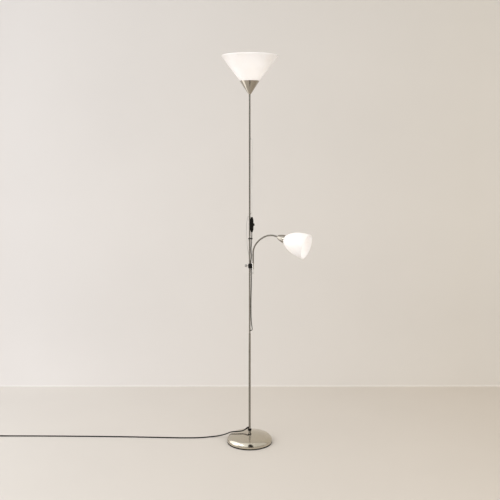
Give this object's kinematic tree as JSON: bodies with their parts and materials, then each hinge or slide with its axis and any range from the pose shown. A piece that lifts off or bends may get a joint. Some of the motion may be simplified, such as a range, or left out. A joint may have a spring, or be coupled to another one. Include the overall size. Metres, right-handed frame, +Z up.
{
  "type": "torchiere floor lamp with reading light",
  "caption": "Slim grey floor lamp with a white conical uplighter bowl, a bell-shaped reading shade on a bendable arm, a switch on the lead and a weighted domed base.",
  "frame": {"origin": "centre of the base's underside, on the floor", "axes": "+Z up along the pole, +X towards the reading lamp's side, -Y towards the viewer of the picture"},
  "size_m": [1.6373, 0.297, 1.784],
  "materials": {
    "pole_grey": "satin nickel",
    "iron": "rough black",
    "zinc": "zinc plated",
    "pad_black": "matte",
    "black_plastic": "fine grain",
    "grey_plastic": "matte",
    "ferrule_metal": "satin",
    "neck_metal": "ribbed",
    "brass_parts": "polished",
    "white_plastic": "translucent white",
    "bulb_glass": "frosted",
    "cap_metal": "satin",
    "black_lead": "satin",
    "pale_lead": "satin"
  },
  "bodies": {
    "stand": {"base_cover": "pole_grey", "foot_collar": "pole_grey", "pole_lower": "pole_grey", "pole_middle": "pole_grey", "pole_upper": "pole_grey", "pole_top": "pole_grey", "pole_reducer": "pole_grey", "uplighter_cup": "pole_grey", "base_weight": "iron", "base_nut": "zinc", "base_washer": "zinc", "pole_studs": "zinc", "switch_screws": "zinc", "base_pad": "pad_black", "strain_relief": "black_plastic", "collar_ring": "black_plastic", "lower_grommet": "black_plastic", "cable_clip": "black_plastic", "switch_back": "black_plastic", "switch_front": "black_plastic", "plug_body": "black_plastic", "coil_tie": "black_plastic", "upper_grommet": "grey_plastic", "switch_contacts": "brass_parts", "plug_pins": "brass_parts", "uplighter_bowl": "white_plastic", "uplighter_ring": "white_plastic", "uplighter_socket": "white_plastic", "socket_bush": "white_plastic", "uplighter_bulb": "bulb_glass", "uplighter_bulb_cap": "cap_metal", "mains_cord": "black_lead", "mains_coil": "black_lead", "supply_lead": "black_lead", "inner_lead_lower": "black_lead", "uplighter_lead": "pale_lead", "reading_lead": "pale_lead", "inner_lead_top": "pale_lead"},
    "liner": {"clamp_liner": "black_plastic", "lead_sleeve": "black_plastic"},
    "clamp": {"arm_clamp": "black_plastic", "arm_ferrule": "ferrule_metal", "arm_lead": "pale_lead"},
    "knob": {"clamp_screw": "grey_plastic"},
    "rocker": {"switch_rocker": "black_plastic"},
    "neck_lower": {"gooseneck_1": "neck_metal", "neck_wire_1": "pale_lead"},
    "neck_middle": {"gooseneck_2": "neck_metal", "neck_wire_2": "pale_lead"},
    "neck_upper": {"gooseneck_3": "neck_metal", "neck_wire_3": "pale_lead"},
    "reading_head": {"gooseneck_4": "neck_metal", "neck_wire_4": "pale_lead", "reading_cup": "pole_grey", "reading_socket": "white_plastic", "reading_ring": "white_plastic", "reading_shade": "white_plastic", "reading_bulb": "bulb_glass", "reading_bulb_cap": "cap_metal"}
  },
  "joints": [
    {"name": "arm_height", "type": "slide", "parent": "stand", "child": "liner", "axis": [0, 0, 1], "range_m": [-0.015, 0.015], "deforming": ["reading_lead"]},
    {"name": "arm_swivel", "type": "hinge", "parent": "liner", "child": "clamp", "pos_m": [0, 0, 0.843], "axis": [0, 0, 1], "range_deg": [-30, 30], "deforming": ["arm_lead"]},
    {"name": "knob_turn", "type": "hinge", "parent": "clamp", "child": "knob", "pos_m": [-0.01438, 0.00701, 0.843], "axis": [0.8988, -0.4384, 0], "range_deg": [-180, 180]},
    {"name": "rocker_press", "type": "hinge", "parent": "stand", "child": "rocker", "pos_m": [0.0129, -0.0158, 1.035], "axis": [0, -1, 0], "range_deg": [0, 14]},
    {"name": "neck_bend_1", "type": "hinge", "parent": "clamp", "child": "neck_lower", "pos_m": [0.01573, -0.00767, 0.88411], "axis": [-0.4384, -0.8988, 0], "range_deg": [-20, 3], "deforming": ["gooseneck_1", "neck_wire_1"]},
    {"name": "neck_bend_2", "type": "hinge", "parent": "neck_lower", "child": "neck_middle", "pos_m": [0.02357, -0.0115, 0.93685], "axis": [-0.4384, -0.8988, 0], "range_deg": [-20, 20], "deforming": ["gooseneck_2", "neck_wire_2"]},
    {"name": "neck_bend_3", "type": "hinge", "parent": "neck_middle", "child": "neck_upper", "pos_m": [0.05715, -0.02787, 0.97537], "axis": [-0.4384, -0.8988, 0], "range_deg": [-20, 20], "deforming": ["gooseneck_3", "neck_wire_3"]},
    {"name": "neck_bend_4", "type": "hinge", "parent": "neck_upper", "child": "reading_head", "pos_m": [0.10337, -0.05042, 0.98947], "axis": [-0.4384, -0.8988, 0], "range_deg": [-30, 30], "deforming": ["gooseneck_4", "neck_wire_4"]}
  ]
}
